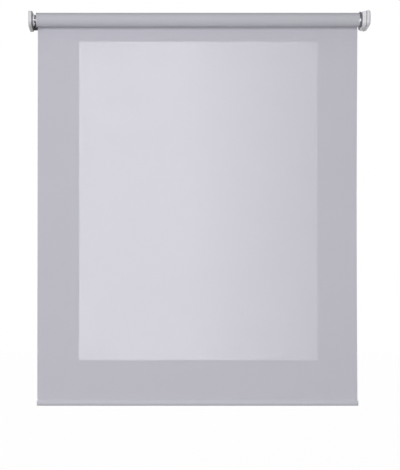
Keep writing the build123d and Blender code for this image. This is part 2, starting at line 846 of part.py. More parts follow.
# Rotor with its shaft, the brake's drum and the first sun gear
with BuildPart() as rotor:
    core_start = motor_start + (can_length - rotor_length) / 2
    shaft_stop = can_end + magnet_size[1]
    sun_stop = ring_end + body_gap
    with BuildSketch(axial(core_start)):
        Circle(rotor_radius)
    extrude(amount=rotor_length)
    with BuildSketch(axial(brake_end - body_gap)):
        Circle(shaft_radius)
    extrude(amount=shaft_stop - brake_end + body_gap)
    with BuildSketch(axial(sun_stop)):
        Circle(drum_radius)
    extrude(amount=brake_end - body_gap - sun_stop)
    extrude(outer_gear(first_gears, sun_teeth, (0, 0), 0), amount=sun_stop - first_gears)
rotor.part.label = "rotor"
export_step(rotor.part, "parts/rotor.step")

# Ring magnet on the rotor's tail, for counting turns
with BuildPart() as encoder_magnet:
    with BuildSketch(axial(can_end + body_gap)):
        Circle(magnet_size[0])
        Circle(shaft_radius + set_fit, mode=Mode.SUBTRACT)
    extrude(amount=magnet_size[1] - body_gap)
encoder_magnet.part.label = "encoder_magnet"
export_step(encoder_magnet.part, "parts/encoder_magnet.step")

# Motor can, closed at the board's end
with BuildPart() as motor_can:
    with BuildSketch(axial(motor_start)):
        Circle(can_radius)
    extrude(amount=can_length)
    with BuildSketch(axial(motor_start)):
        Circle(can_radius - can_wall)
    extrude(amount=can_length - can_wall, mode=Mode.SUBTRACT)
    with BuildSketch(axial(motor_start)):
        Circle(shaft_radius + running_fit)
    extrude(amount=can_length, mode=Mode.SUBTRACT)
motor_can.part.label = "motor_can"
export_step(motor_can.part, "parts/motor_can.step")

# Plate that fixes the motor in the casing
with BuildPart() as motor_plate:
    with BuildSketch(axial(brake_end)):
        Circle(in_casing)
        Circle(shaft_radius + running_fit, mode=Mode.SUBTRACT)
    extrude(amount=motor_plate_thickness - seat_gap)
motor_plate.part.label = "motor_plate"
export_step(motor_plate.part, "parts/motor_plate.step")

# Wrap spring of the holding brake, round the rotor's drum
brake_spring_radius = drum_radius + running_fit + brake_wire
with BuildPart() as brake_spring:
    with BuildLine() as wrap:
        Helix(
            pitch=brake_pitch,
            height=brake_pitch * brake_turns,
            radius=brake_spring_radius,
            center=(brake_start + (brake_length - brake_pitch * brake_turns) / 2, axis_y, 0),
            direction=(1, 0, 0),
        )
    with BuildSketch(Plane(origin=wrap.line @ 0, z_dir=wrap.line % 0)):
        Circle(brake_wire)
    sweep(path=wrap.line, is_frenet=True)
brake_spring.part.label = "brake_spring"
export_step(brake_spring.part, "parts/brake_spring.step")

# Housing of the brake
with BuildPart() as brake_housing:
    with BuildSketch(axial(brake_start + seat_gap)):
        Circle(in_casing)
        Circle(brake_spring_radius + brake_wire + seat_gap, mode=Mode.SUBTRACT)
    extrude(amount=brake_length - 2 * seat_gap)
brake_housing.part.label = "brake_housing"
export_step(brake_housing.part, "parts/brake_housing.step")

# Cap that closes the gearbox, and the bronze bush in it
with BuildPart() as gearbox_cap:
    with BuildSketch(axial(cap_start)):
        Circle(in_casing)
        Circle(bush_radius + set_fit, mode=Mode.SUBTRACT)
    extrude(amount=cap_thickness - seat_gap)
gearbox_cap.part.label = "gearbox_cap"
export_step(gearbox_cap.part, "parts/gearbox_cap.step")

with BuildPart() as output_bush:
    with BuildSketch(axial(cap_start)):
        Circle(bush_radius)
        Circle(output_radius + running_fit, mode=Mode.SUBTRACT)
    extrude(amount=cap_thickness - seat_gap)
output_bush.part.label = "output_bush"
export_step(output_bush.part, "parts/output_bush.step")

# Drive wheel: a hub on the output shaft and a rim in the tube, keyed by the tube's groove
with BuildPart() as drive_wheel:
    with BuildSketch(axial(wheel_start)):
        Circle(inner_radius)
    extrude(amount=wheel_width)
    extrude(groove_notch(wheel_start), amount=wheel_width, mode=Mode.SUBTRACT)
    pocket_depth = (wheel_width - wheel_web) / 2
    pocket_radius = groove_floor - groove_wall - seat_gap - wheel_rim
    with BuildSketch(axial(wheel_start), axial(wheel_end - pocket_depth)):
        Circle(pocket_radius)
        Circle(wheel_hub, mode=Mode.SUBTRACT)
    extrude(amount=pocket_depth, mode=Mode.SUBTRACT)
    with BuildSketch(axial(wheel_start)):
        Circle(output_radius + set_fit)
        with Locations((0, output_flat + set_fit + output_radius)):
            Rectangle(3 * output_radius, 2 * output_radius, mode=Mode.SUBTRACT)
    extrude(amount=wheel_width, mode=Mode.SUBTRACT)
drive_wheel.part.label = "drive_wheel"
export_step(drive_wheel.part, "parts/drive_wheel.step")

# Slotted screw that keeps the drive wheel on its shaft
with BuildPart() as drive_screw:
    with BuildSketch(axial(wheel_start - screw_head[1])):
        Circle(screw_head[0])
    extrude(amount=screw_head[1] - set_fit)
    with BuildSketch(axial(wheel_start - set_fit)):
        Circle(screw_radius)
    extrude(amount=screw_length)
    with BuildSketch(axial(wheel_start - screw_head[1])):
        Rectangle(screw_slot[0], screw_slot[1])
    extrude(amount=screw_slot[2], mode=Mode.SUBTRACT)
drive_screw.part.label = "drive_screw"
export_step(drive_screw.part, "parts/drive_screw.step")

# Sheet of fabric that hangs from the back of the roll
sheet_front = axis_y + roll_radius + seat_gap
sheet_middle = sheet_front + fabric_thickness / 2
hem_bottom = -drop
hem_centre = hem_bottom + hem_oval / 2
hem_top = hem_bottom + hem_oval + hem_seam
with BuildPart() as hanging_fabric:
    with BuildSketch(side(fabric_left)):
        with BuildLine():
            Polyline(
                (sheet_front, 0),
                (sheet_front, hem_top + set_fit),
                (sheet_front + fabric_thickness, hem_top + set_fit),
                (sheet_front + fabric_thickness, 0),
                close=True,
            )
        make_face()
    extrude(amount=fabric_width)
hanging_fabric.part.label = "hanging_fabric"
export_step(hanging_fabric.part, "parts/hanging_fabric.step")


def hem_plane(x):
    """Plane across the hem bar's middle, with its x upwards and its y towards the front."""
    return Plane(origin=(x, sheet_middle, hem_centre), x_dir=(0, 0, 1), z_dir=(1, 0, 0))


def pocket_outline(x, inset, peak_width):
    """Outline of the hem's pocket at x: an oval whose sides run up to a peak, smaller by inset."""
    up = hem_oval / 2 - inset
    out = hem_depth / 2 - inset
    peak = hem_oval / 2 + hem_seam - 2 * inset
    touch_up = up**2 / peak
    touch_out = out * sqrt(1 - (up / peak) ** 2)
    with BuildSketch(hem_plane(x)) as sketch:
        Ellipse(up, out)
        Polygon(
            (touch_up, touch_out),
            (touch_up, -touch_out),
            (peak, -peak_width / 2),
            (peak, peak_width / 2),
            align=None,
        )
    return sketch.sketch


# Pocket of fabric round the hem bar, closed by a seam above it
with BuildPart() as hem_pocket:
    extrude(pocket_outline(fabric_left, 0, fabric_thickness), amount=fabric_width)
    extrude(
        pocket_outline(fabric_left, fabric_thickness, set_fit),
        amount=fabric_width,
        mode=Mode.SUBTRACT,
    )
hem_pocket.part.label = "hem_pocket"
export_step(hem_pocket.part, "parts/hem_pocket.step")

# Oval aluminium bar that weights the hem
bar_up = hem_oval / 2 - fabric_thickness - set_fit
bar_out = hem_depth / 2 - fabric_thickness - set_fit
bore_up = bar_up - hem_bar_wall
bore_out = bar_out - hem_bar_wall
with BuildPart() as hem_bar:
    with BuildSketch(hem_plane(fabric_left)):
        Ellipse(bar_up, bar_out)
        Ellipse(bore_up, bore_out, mode=Mode.SUBTRACT)
    extrude(amount=fabric_width)
hem_bar.part.label = "hem_bar"
export_step(hem_bar.part, "parts/hem_bar.step")


# End caps: a plate over the pocket's end with a tongue inside the bar
def hem_cap(sign):
    """sign is -1 for the left cap and 1 for the right one."""
    end = fabric_right if sign > 0 else fabric_left
    seat = end + sign * seat_gap
    outer = seat + sign * hem_cap_wall
    tongue = end - sign * hem_tongue
    with BuildPart() as made:
        with BuildSketch(hem_plane(min(seat, outer))) as plate:
            Ellipse(hem_oval / 2 - hem_cap_inset, hem_depth / 2 - hem_cap_inset)
        extrude(plate.sketch, amount=hem_cap_wall)
        fillet(made.faces().sort_by(Axis.X)[-1 if sign > 0 else 0].edges(), radius=hem_cap_round)
        with BuildSketch(hem_plane(min(seat, tongue))) as plug:
            Ellipse(bore_up - set_fit, bore_out - set_fit)
        extrude(plug.sketch, amount=hem_tongue + seat_gap)
    return made.part


with BuildPart() as hem_cap_left:
    add(hem_cap(-1))
hem_cap_left.part.label = "hem_cap_left"
export_step(hem_cap_left.part, "parts/hem_cap_left.step")

with BuildPart() as hem_cap_right:
    add(hem_cap(1))
hem_cap_right.part.label = "hem_cap_right"
export_step(hem_cap_right.part, "parts/hem_cap_right.step")
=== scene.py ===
import json
import math

import bpy
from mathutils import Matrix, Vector, noise


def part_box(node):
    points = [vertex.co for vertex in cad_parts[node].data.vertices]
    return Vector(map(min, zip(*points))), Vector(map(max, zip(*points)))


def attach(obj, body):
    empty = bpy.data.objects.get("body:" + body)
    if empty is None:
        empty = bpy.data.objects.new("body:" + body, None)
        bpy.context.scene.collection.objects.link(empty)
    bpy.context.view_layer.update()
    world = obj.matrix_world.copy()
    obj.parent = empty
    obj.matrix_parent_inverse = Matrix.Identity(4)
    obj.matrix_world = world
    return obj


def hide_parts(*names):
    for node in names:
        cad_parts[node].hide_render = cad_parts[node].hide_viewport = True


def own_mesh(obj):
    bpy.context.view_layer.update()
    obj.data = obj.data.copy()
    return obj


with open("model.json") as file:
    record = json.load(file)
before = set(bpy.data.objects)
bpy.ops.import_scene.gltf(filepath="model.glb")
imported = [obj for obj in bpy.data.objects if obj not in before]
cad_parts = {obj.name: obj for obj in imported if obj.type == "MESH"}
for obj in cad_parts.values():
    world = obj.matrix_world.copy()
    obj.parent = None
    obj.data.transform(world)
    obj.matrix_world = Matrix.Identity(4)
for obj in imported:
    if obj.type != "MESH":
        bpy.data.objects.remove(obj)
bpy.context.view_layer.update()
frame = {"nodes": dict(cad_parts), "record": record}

# Sizes in metres, as in the part's source
AXIS_Y = -0.034
FABRIC_LEFT = -0.455
FABRIC_RIGHT = 0.449
FABRIC_THICKNESS = 0.0004
ROLL_RADIUS = 0.0200
ROLL_BORE = 0.01905
SHEET_MIDDLE = -0.0137
HEM_BOTTOM = -1.0872
HEM_OVAL = 0.0146
HEM_DEPTH = 0.0110
HEM_SEAM = 0.0036
HEM_TOP = HEM_BOTTOM + HEM_OVAL + HEM_SEAM
HEM_CENTRE = HEM_BOTTOM + HEM_OVAL / 2
SPRING_WIRE = 0.00055
SPRING_RADIUS = 0.0050
SPRING_TURNS = 9
FIT = 0.00005


def smooth(piece):
    for face in piece.data.polygons:
        face.use_smooth = True


def sharpen(piece, degrees=50):
    """Edges sharper than that many degrees shade as edges."""
    piece.data.set_sharp_from_angle(angle=math.radians(degrees))


def mesh_piece(name, points, faces):
    """An object at the origin made from points in the shared frame."""
    mesh = bpy.data.meshes.new(name)
    mesh.from_pydata(points, [], faces)
    mesh.validate()
    mesh.update()
    piece = bpy.data.objects.new(name, mesh)
    smooth(piece)
    bpy.context.scene.collection.objects.link(piece)
    return piece


def along(low, high, count):
    """count + 1 even places from low to high."""
    return [low + (high - low) * n / count for n in range(count + 1)]


def end_faces(faces, ring, lengths, pairs):
    """Closes both ends of a band. pairs says where in a ring of points each end face begins and ends."""
    for k in (0, lengths):
        for n, after in pairs:
            a = k * ring + n
            b = k * ring + after
            face = (a, b, b + 1, a + 1)
            faces.append(tuple(reversed(face)) if k else face)


def solid_sheet(name, columns, rows, place):
    """A closed thin sheet. place(u, v, side) gives a point, with u and v from 0 to 1 and side -1 or 1."""
    points = []
    for side in (-1, 1):
        for j in range(rows + 1):
            for i in range(columns + 1):
                points.append(place(i / columns, j / rows, side))
    width = columns + 1
    layer = width * (rows + 1)
    faces = []
    for j in range(rows):
        for i in range(columns):
            a = j * width + i
            faces.append((a, a + 1, a + width + 1, a + width))
            faces.append((layer + a, layer + a + width, layer + a + width + 1, layer + a + 1))
    rim = list(range(width))
    rim += [j * width + columns for j in range(1, rows + 1)]
    rim += [rows * width + i for i in reversed(range(columns))]
    rim += [j * width for j in reversed(range(1, rows))]
    for a, b in zip(rim, rim[1:] + rim[:1]):
        faces.append((a, a + layer, b + layer, b))
    return mesh_piece(name, points, faces)


def drift(x, z, scale, seed):
    """Smooth noise between about -1 and 1."""
    return noise.noise(Vector((x / scale, z / scale, seed)))


# How the hanging cloth differs from a flat rectangle, in metres
LEFT_DRIFT = (0.0006, -0.0010)  # how far its left edge runs inwards, at its top and bottom
RIGHT_WAIST = 0.0022  # how far its right edge runs inwards half way down
WAVES = ((0.0006, 0.35, 3.0), (0.0003, 0.12, 9.0))  # depth, length and seed of each wave
WAVE_RISE = 0.6  # power of the sine by which the waves grow from the roll and the hem
WAVE_SPAN = 0.9  # width that the waves and the cupped edges are measured on
CUP_DEPTH = 0.0016
CUP_REACH = 0.018
CUP_LEVELS = (0.6, 0.4)  # the cup's usual share of its depth, and how far that share changes
CUP_LENGTH = 0.2
CUP_SEED = 5.0


def hanging_point(u, v, side):
    """The hanging cloth: flat, with a slow wave and edges that cup a little."""
    z = (HEM_TOP + FIT) * v
    free = math.sin(math.pi * v) ** WAVE_RISE if 0 < v < 1 else 0.0
    wave = sum(depth * drift(u * WAVE_SPAN, z, length, seed) for depth, length, seed in WAVES)
    edge = min(u, 1 - u) * WAVE_SPAN
    change = CUP_LEVELS[0] + CUP_LEVELS[1] * drift(0.0, z, CUP_LENGTH, CUP_SEED + round(u))
    cup = CUP_DEPTH * math.exp(-edge / CUP_REACH) * change
    y = SHEET_MIDDLE + free * (wave - cup) + side * FABRIC_THICKNESS / 2
    left = FABRIC_LEFT + LEFT_DRIFT[0] + (LEFT_DRIFT[1] - LEFT_DRIFT[0]) * v
    right = FABRIC_RIGHT - RIGHT_WAIST * math.sin(math.pi * v)
    return (left + (right - left) * u, y, z)


shade_cloth = solid_sheet("shade_cloth", columns=72, rows=84, place=hanging_point)
sharpen(shade_cloth)

# The wound cloth: the share of the pitch that a layer fills, how its ends slip, and its swelling
LAYER_SHARE = 0.9
END_SETBACK = 0.0002
SLIP = 0.0005
SLIP_RATE = 1.7
SLIP_SEED = (0.3, 4.0)
SWELL = 0.00012
SWELL_LENGTH = 0.11
SWELL_SEED = 2.0


def roll_profile(turns, steps):
    """Spiral lines of the wound cloth, as (angle, outer radius, inner radius)."""
    pitch = (ROLL_RADIUS - ROLL_BORE) / (turns + 1)
    lines = []
    for n in range(turns * steps + 1):
        angle = 2 * math.pi * n / steps
        outer = ROLL_RADIUS - pitch * angle / (2 * math.pi)
        lines.append((angle, outer, outer - LAYER_SHARE * pitch))
    return lines


def wound_cloth(turns=2, steps=96, lengths=24):
    """The cloth on the tube as one spiral sheet, whose layers end a little apart."""
    lines = roll_profile(turns, steps)
    points = []
    for k, x in enumerate(along(FABRIC_LEFT, FABRIC_RIGHT, lengths)):
        for angle, outer, inner in lines:
            place = x
            layer = angle / (2 * math.pi)
            slip = SLIP * noise.noise(Vector((layer * SLIP_RATE, *SLIP_SEED)))
            if k == 0:
                place += END_SETBACK + slip
            if k == lengths:
                place -= END_SETBACK - slip
            swell = SWELL * drift(x, layer, SWELL_LENGTH, SWELL_SEED) if 0 < k < lengths else 0.0
            fade = max(0.0, 1 - layer)
            for radius in (outer + swell * fade - SWELL * fade, inner):
                y = AXIS_Y + radius * math.cos(angle)
                points.append((place, y, -radius * math.sin(angle)))
    ring = 2 * len(lines)
    last = ring - 2
    faces = []
    for k in range(lengths):
        for n in range(len(lines) - 1):
            a = k * ring + 2 * n
            b = a + ring
            faces.append((a, b, b + 2, a + 2))
            faces.append((a + 1, a + 3, b + 3, b + 1))
        a = k * ring
        b = a + ring
        faces.append((a, a + 1, b + 1, b))
        faces.append((a + last, b + last, b + last + 1, a + last + 1))
    end_faces(faces, ring, lengths, [(2 * n, 2 * n + 2) for n in range(len(lines) - 1)])
    return mesh_piece("cloth_roll", points, faces)


cloth_roll = wound_cloth()
sharpen(cloth_roll, degrees=40)

# The hem's slight unevenness
PUFF = 0.00010
PUFF_LENGTH = 0.05
PUFF_SEED = 6.0


def pocket_outline(inset, peak_width, steps, seam_steps):
    """Points round the hem's pocket, from its lowest one, as (y, z) from the bar's middle."""
    up = HEM_OVAL / 2 - inset
    out = HEM_DEPTH / 2 - inset
    peak = HEM_OVAL / 2 + HEM_SEAM - 2 * inset
    touch = math.asin(up / peak)
    half = []
    for n in range(steps + 1):
        angle = -math.pi / 2 + (touch + math.pi / 2) * n / steps
        half.append((out * math.cos(angle), up * math.sin(angle)))
    touch_y, touch_z = half[-1]
    for n in range(1, seam_steps + 1):
        share = n / seam_steps
        y = touch_y + (peak_width / 2 - touch_y) * share
        half.append((y, touch_z + (peak - touch_z) * share))
    return half + [(-y, z) for y, z in reversed(half[1:])]


def hem_sleeve_piece(lengths=48, steps=18, seam_steps=4):
    """The cloth pocket round the hem bar."""
    outer = pocket_outline(0.0, FABRIC_THICKNESS, steps, seam_steps)
    inner = pocket_outline(FABRIC_THICKNESS, FIT, steps, seam_steps)
    points = []
    for k, x in enumerate(along(FABRIC_LEFT, FABRIC_RIGHT, lengths)):
        inside = 0 < k < lengths
        for (y, z), (inner_y, inner_z) in zip(outer, inner):
            puff = PUFF * drift(x, z, PUFF_LENGTH, PUFF_SEED) if inside else 0.0
            points.append((x, SHEET_MIDDLE + y * (1 + puff / HEM_DEPTH), HEM_CENTRE + z))
            points.append((x, SHEET_MIDDLE + inner_y, HEM_CENTRE + inner_z))
    count = len(outer)
    ring = 2 * count
    pairs = [(2 * n, 2 * ((n + 1) % count)) for n in range(count)]
    faces = []
    for k in range(lengths):
        for n, after in pairs:
            a = k * ring + n
            b = k * ring + after
            faces.append((a, a + ring, b + ring, b))
            faces.append((a + 1, b + 1, b + ring + 1, a + ring + 1))
    end_faces(faces, ring, lengths, pairs)
    return mesh_piece("hem_sleeve", points, faces)


hem_sleeve = hem_sleeve_piece()
sharpen(hem_sleeve)


def coil_spring(start, end, around=12, steps=40):
    """The idle pin's spring, a round wire wound on the roller's axis from start to end."""
    count = SPRING_TURNS * steps
    points = []
    for n, x in enumerate(along(start + SPRING_WIRE, end - SPRING_WIRE, count)):
        turn = 2 * math.pi * n / steps
        for k in range(around):
            angle = 2 * math.pi * k / around
            radius = SPRING_RADIUS + SPRING_WIRE * math.cos(angle)
            y = AXIS_Y + radius * math.cos(turn)
            points.append((x + SPRING_WIRE * math.sin(angle), y, radius * math.sin(turn)))
    faces = []
    for n in range(count):
        for k in range(around):
            a = n * around + k
            b = n * around + (k + 1) % around
            faces.append((a, b, b + around, a + around))
    faces.append(tuple(reversed(range(around))))
    faces.append(tuple(range(count * around, (count + 1) * around)))
    return mesh_piece("idle_coil", points, faces)


spring_low, spring_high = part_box("idle_spring")
idle_coil = coil_spring(spring_low[0], spring_high[0])
sharpen(idle_coil)


def math_node(tree, operation, *inputs):
    """A math node's output. Each input is a number or another node's output."""
    node = tree.nodes.new("ShaderNodeMath")
    node.operation = operation
    for socket, value in zip(node.inputs, inputs):
        if isinstance(value, (int, float)):
            socket.default_value = value
        else:
            tree.links.new(value, socket)
    return node.outputs[0]


class Maker:
    """Builds one node material."""

    def __init__(self, name):
        self.material = bpy.data.materials.new(name)
        self.material.use_nodes = True
        self.tree = self.material.node_tree
        self.shader = next(n for n in self.tree.nodes if n.type == "BSDF_PRINCIPLED")
        self.output = next(n for n in self.tree.nodes if n.type == "OUTPUT_MATERIAL")

    def add(self, kind):
        return self.tree.nodes.new(kind)

    def link(self, source, target):
        self.tree.links.new(source, target)

    def math(self, operation, *inputs):
        return math_node(self.tree, operation, *inputs)

    def total(self, *parts):
        """The sum of values, each given with its share."""
        values = [self.math("MULTIPLY", value, share) for value, share in parts]
        result = values[0]
        for value in values[1:]:
            result = self.math("ADD", result, value)
        return result

    def coordinates(self):
        return self.add("ShaderNodeTexCoord").outputs["Object"]

    def noise(self, vector, scale, detail=2.0, rough=0.5):
        node = self.add("ShaderNodeTexNoise")
        node.inputs["Scale"].default_value = scale
        node.inputs["Detail"].default_value = detail
        node.inputs["Roughness"].default_value = rough
        self.link(vector, node.inputs["Vector"])
        return node.outputs["Fac"]

    def streaks(self, vector, scales):
        """Noise drawn out along the axes of the smaller scales."""
        node = self.add("ShaderNodeMapping")
        node.inputs["Scale"].default_value = scales
        self.link(vector, node.inputs["Vector"])
        return self.noise(node.outputs["Vector"], scale=1.0, detail=3.0)

    def ramp(self, factor, low, high, start=0.3, end=0.7):
        """low and high are colours that the factor runs between from start to end."""
        node = self.add("ShaderNodeValToRGB")
        first, last = node.color_ramp.elements
        first.position = start
        first.color = (*low, 1)
        last.position = end
        last.color = (*high, 1)
        self.link(factor, node.inputs["Fac"])
        return node.outputs["Color"]

    def span(self, factor, low, high):
        node = self.add("ShaderNodeMapRange")
        node.inputs["To Min"].default_value = low
        node.inputs["To Max"].default_value = high
        self.link(factor, node.inputs["Value"])
        return node.outputs["Result"]

    def bump(self, height, distance, strength=0.5, normal=None):
        node = self.add("ShaderNodeBump")
        node.inputs["Strength"].default_value = strength
        node.inputs["Distance"].default_value = distance
        self.link(height, node.inputs["Height"])
        if normal is not None:
            self.link(normal, node.inputs["Normal"])
        return node.outputs["Normal"]

    def set(self, **values):
        for name, value in values.items():
            self.shader.inputs[name.replace("_", " ")].default_value = value

    def feed(self, name, source):
        self.link(source, self.shader.inputs[name])


def linear(*srgb):
    """A linear colour from sRGB values of 0 to 255."""
    shares = [c / 255 for c in srgb]
    return tuple(c / 12.92 if c <= 0.04045 else ((c + 0.055) / 1.055) ** 2.4 for c in shares)


def shade(colour, factor):
    return tuple(min(1.0, c * factor) for c in colour)


def shades(colour, factors):
    return [shade(colour, factor) for factor in factors]


def levels(middle, changes):
    return [middle + change for change in changes]


# Cloth: its threads' pitch, its colours, the noise along its threads and what each adds to the tint
THREAD = 0.00052
CLOTH = linear(223, 222, 230)
CLOTH_THROUGH = (0.95, 0.945, 0.985, 1)
ROLLED = linear(192, 192, 200)
FOLDED = linear(199, 199, 207)
WEFT_STREAKS = (14, 900, 1)
WARP_STREAKS = (700, 9, 1)
CLOTH_PATCHES = 3.2
WEFT_SHARE = 0.4
WARP_SHARE = 0.35
PATCH_SHARE = 0.25
CROSSING_SHARE = 0.16
CLOTH_TINT = (0.955, 1.045)
CLOTH_ROUGH = (0.92, 0.8)
WEAVE_DEPTH = 0.00009
STREAK_DEPTH = 0.00006


def cloth_material(name, mode, colour, through):
    """Plain woven polyester. mode says how the weft's place is read: flat, wound or folded."""
    m = Maker(name)
    at = m.coordinates()
    split = m.add("ShaderNodeSeparateXYZ")
    m.link(at, split.inputs[0])
    x, y, z = split.outputs
    if mode == "wound":
        back = m.math("SUBTRACT", y, AXIS_Y)
        place = m.math("MULTIPLY", m.math("ARCTAN2", z, back), ROLL_RADIUS)
    elif mode == "folded":
        place = m.math("ADD", z, m.math("ABSOLUTE", m.math("SUBTRACT", y, SHEET_MIDDLE)))
    else:
        place = z
    warp = m.math("SINE", m.math("MULTIPLY", x, math.pi / THREAD))
    weft = m.math("SINE", m.math("MULTIPLY", place, math.pi / THREAD))
    crossing = m.math("MULTIPLY", warp, weft)
    weave = m.math("ABSOLUTE", crossing)
    flat = m.add("ShaderNodeCombineXYZ")
    m.link(x, flat.inputs[0])
    m.link(place, flat.inputs[1])
    threads = m.streaks(flat.outputs[0], WEFT_STREAKS)
    columns = m.streaks(flat.outputs[0], WARP_STREAKS)
    patches = m.noise(at, CLOTH_PATCHES)
    mixed = m.total(
        (threads, WEFT_SHARE),
        (columns, WARP_SHARE),
        (patches, PATCH_SHARE),
        (crossing, CROSSING_SHARE),
    )
    m.feed("Base Color", m.ramp(mixed, *shades(colour, CLOTH_TINT), start=0.25, end=0.75))
    m.feed("Roughness", m.span(weave, *CLOTH_ROUGH))
    m.set(Sheen_Weight=0.08, Sheen_Roughness=0.45, Specular_IOR_Level=0.25)
    fine = m.bump(weave, WEAVE_DEPTH, strength=0.7)
    normal = m.bump(threads, STREAK_DEPTH, normal=fine)
    m.feed("Normal", normal)
    if through:
        light = m.add("ShaderNodeBsdfTranslucent")
        light.inputs["Color"].default_value = CLOTH_THROUGH
        m.link(normal, light.inputs["Normal"])
        mix = m.add("ShaderNodeMixShader")
        mix.inputs["Fac"].default_value = through
        m.link(m.shader.outputs[0], mix.inputs[1])
        m.link(light.outputs[0], mix.inputs[2])
        m.link(mix.outputs[0], m.output.inputs["Surface"])
    return m.material


# Each finish has patches of noise at a scale, and how far they or its lines change its roughness
PLASTIC_PATCHES = 45.0
PLASTIC_ROUGH = (-0.05, 0.06)
PLASTIC_GRAIN_DEPTH = 0.00002


def plastic(name, colour, roughness, grain=2600.0, spread=0.03, coat=0.0):
    """Moulded plastic with a fine spark-eroded grain. spread is how far its patches differ."""
    m = Maker(name)
    at = m.coordinates()
    fine = m.noise(at, grain, detail=3.0, rough=0.6)
    patches = m.noise(at, PLASTIC_PATCHES, detail=3.0)
    m.feed("Base Color", m.ramp(patches, *shades(colour, (1 - spread, 1 + spread))))
    m.feed("Roughness", m.span(patches, *levels(roughness, PLASTIC_ROUGH)))
    m.feed("Normal", m.bump(fine, PLASTIC_GRAIN_DEPTH))
    m.set(Specular_IOR_Level=0.45, Coat_Weight=coat)
    return m.material


DRAWN_LINES = (60, 2400, 2400)  # scales along X, Y and Z
TURNED_LINES = (2400, 60, 60)
METAL_PATCHES = 60.0
METAL_TINT = (0.93, 1.05)
METAL_ROUGH = (-0.08, 0.1)
METAL_LINE_DEPTH = 0.000006


def metal(name, colour, roughness, lines=DRAWN_LINES):
    """Metal with drawn or turned lines."""
    m = Maker(name)
    at = m.coordinates()
    streaks = m.streaks(at, lines)
    patches = m.noise(at, METAL_PATCHES, detail=3.0)
    m.feed("Base Color", m.ramp(patches, *shades(colour, METAL_TINT)))
    m.feed("Roughness", m.span(streaks, *levels(roughness, METAL_ROUGH)))
    m.feed("Normal", m.bump(streaks, METAL_LINE_DEPTH))
    m.set(Metallic=1.0)
    return m.material


PAINT_PEEL = 900.0
PAINT_PEEL_DEPTH = 0.00003
PAINT_PATCHES = 70.0
PAINT_TINT = (0.85, 1.2)
PAINT_ROUGH = (-0.06, 0.08)


def painted(name, colour, roughness):
    """Powder paint on steel, with its faint orange peel."""
    m = Maker(name)
    at = m.coordinates()
    peel = m.noise(at, PAINT_PEEL)
    patches = m.noise(at, PAINT_PATCHES, detail=4.0)
    m.feed("Base Color", m.ramp(patches, *shades(colour, PAINT_TINT)))
    m.feed("Roughness", m.span(patches, *levels(roughness, PAINT_ROUGH)))
    m.feed("Normal", m.bump(peel, PAINT_PEEL_DEPTH))
    m.set(Specular_IOR_Level=0.5)
    return m.material


slot_materials = {
    "cover_plastic": plastic("cover_satin", linear(228, 228, 232), 0.36, coat=0.3),
    "idle_cover_plastic": plastic("idle_cover_satin", linear(205, 205, 208), 0.4),
    # Near-black idle bracket: partly its own dark paint, partly painted shade for the shadow in the gaps
    # behind the hub and under its cover
    "bracket_steel": painted("bracket_black_and_painted_shade", linear(38, 38, 42), 0.4),
    "motor_bracket_steel": painted("bracket_grey", linear(158, 158, 161), 0.4),
    # White nylon of the hub; the same white on the small key in the crown's rim is a painted highlight
    # standing in for a glint there
    "hub_nylon": plastic("hub_white_and_key_glint", linear(238, 238, 246), 0.3, coat=0.5),
    "pin_steel": metal("pin_zinc", linear(208, 208, 214), 0.3),
    "plug_plastic": plastic("plug_grey", linear(190, 190, 199), 0.45),
    "spring_steel": metal("spring_bright", linear(185, 185, 190), 0.3, TURNED_LINES),
    "tube_aluminium": metal("tube_mill", linear(215, 215, 219), 0.35),
    "spline_plastic": plastic("spline_white", linear(225, 225, 225), 0.45),
    "crown_plastic": plastic("crown_dark", linear(104, 104, 108), 0.32, spread=0.1),
    "casing_steel": metal("casing_zinc", linear(200, 200, 202), 0.35),
    "inner_plastic": plastic("inner_black", linear(60, 60, 62), 0.5, spread=0.1),
    "cell_wrap": plastic("cell_blue", linear(52, 112, 156), 0.3, spread=0.05, coat=0.3),
    "board_green": plastic("board_mask", linear(34, 100, 66), 0.35, grain=700.0, spread=0.15),
    "gear_polymer": plastic("gear_acetal", linear(229, 226, 214), 0.35),
    "gear_steel": metal("gear_cut", linear(190, 190, 193), 0.35),
    "magnet": metal("magnet_nickel", linear(150, 150, 156), 0.25),
    "bush_bronze": metal("bush_sintered", linear(200, 160, 100), 0.5),
    "button_plastic": plastic("button_grey", linear(188, 188, 192), 0.45),
    "light_pipe": plastic("light_clear", linear(222, 236, 228), 0.15, grain=300.0, coat=0.5),
    "hem_cap_plastic": plastic("hem_cap_grey", linear(190, 190, 198), 0.4),
    "fabric": cloth_material("cloth_flat", "flat", CLOTH, through=0.5),
}
wound_material = cloth_material("cloth_wound", "wound", ROLLED, through=0.0)
folded_material = cloth_material("cloth_folded", "folded", FOLDED, through=0.0)

slot_of = {row["node"]: row["material_slot"] for row in frame["record"]["subparts"]}
for node, piece in frame["nodes"].items():
    piece.data.materials.clear()
    piece.data.materials.append(slot_materials[slot_of[node]])
    sharpen(piece, degrees=28)
    smooth(piece)

shade_cloth.data.materials.append(slot_materials["fabric"])
cloth_roll.data.materials.append(wound_material)
hem_sleeve.data.materials.append(folded_material)
idle_coil.data.materials.append(slot_materials["spring_steel"])

# What each piece of cloth stands for and moves with
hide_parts("hanging_fabric")
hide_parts("fabric_roll")
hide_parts("hem_pocket")
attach(shade_cloth, "wall_frame")
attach(cloth_roll, "roller")
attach(hem_sleeve, "hem")
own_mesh(shade_cloth)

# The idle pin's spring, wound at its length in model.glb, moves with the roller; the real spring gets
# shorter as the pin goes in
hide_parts("idle_spring")
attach(idle_coil, "roller")
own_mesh(idle_coil)


def plain_rays(tree):
    """1 for camera and mirror rays and for clear rays through glass, and 0 for scattered ones."""
    path = tree.nodes.new("ShaderNodeLightPath").outputs
    clear = math_node(tree, "SUBTRACT", path["Is Transmission Ray"], path["Is Diffuse Ray"])
    other = math_node(tree, "MAXIMUM", path["Is Glossy Ray"], clear)
    return math_node(tree, "MAXIMUM", path["Is Camera Ray"], other)


